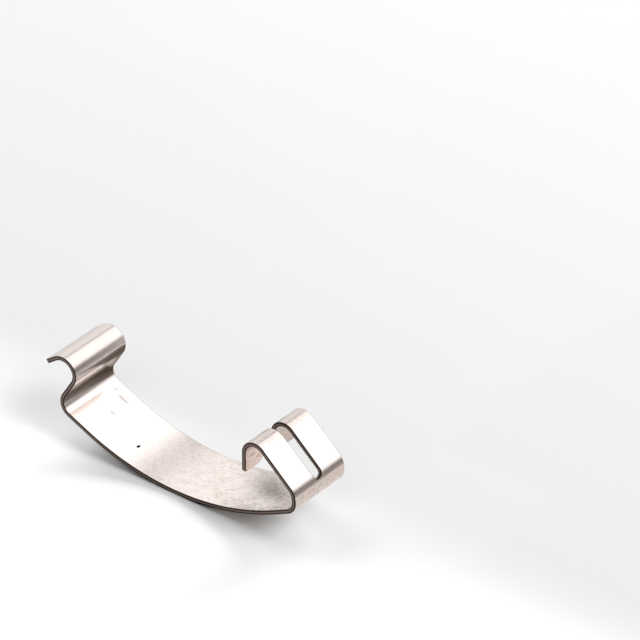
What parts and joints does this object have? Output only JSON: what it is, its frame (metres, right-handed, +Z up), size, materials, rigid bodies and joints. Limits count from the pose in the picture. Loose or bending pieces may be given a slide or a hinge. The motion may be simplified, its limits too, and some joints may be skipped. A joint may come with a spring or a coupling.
{
  "type": "flat spring clip",
  "caption": "Flat spring clip bent from one stainless strip, with an S-curved hook, a bowed web and a folded loop that ends in a slotted, hanging fork.",
  "frame": {"origin": "middle of the length and of the width, on the surface that the bowed web lies on", "axes": "+X from the hook to the folded loop, +Y across the strip, +Z up out of the bow"},
  "size_m": [0.0478, 0.012, 0.0155],
  "materials": {
    "spring_strip": "bright satin cold-rolled stainless strip with dark sheared edges"
  },
  "bodies": {
    "root": {"spring_clip": "spring_strip"}
  },
  "joints": []
}
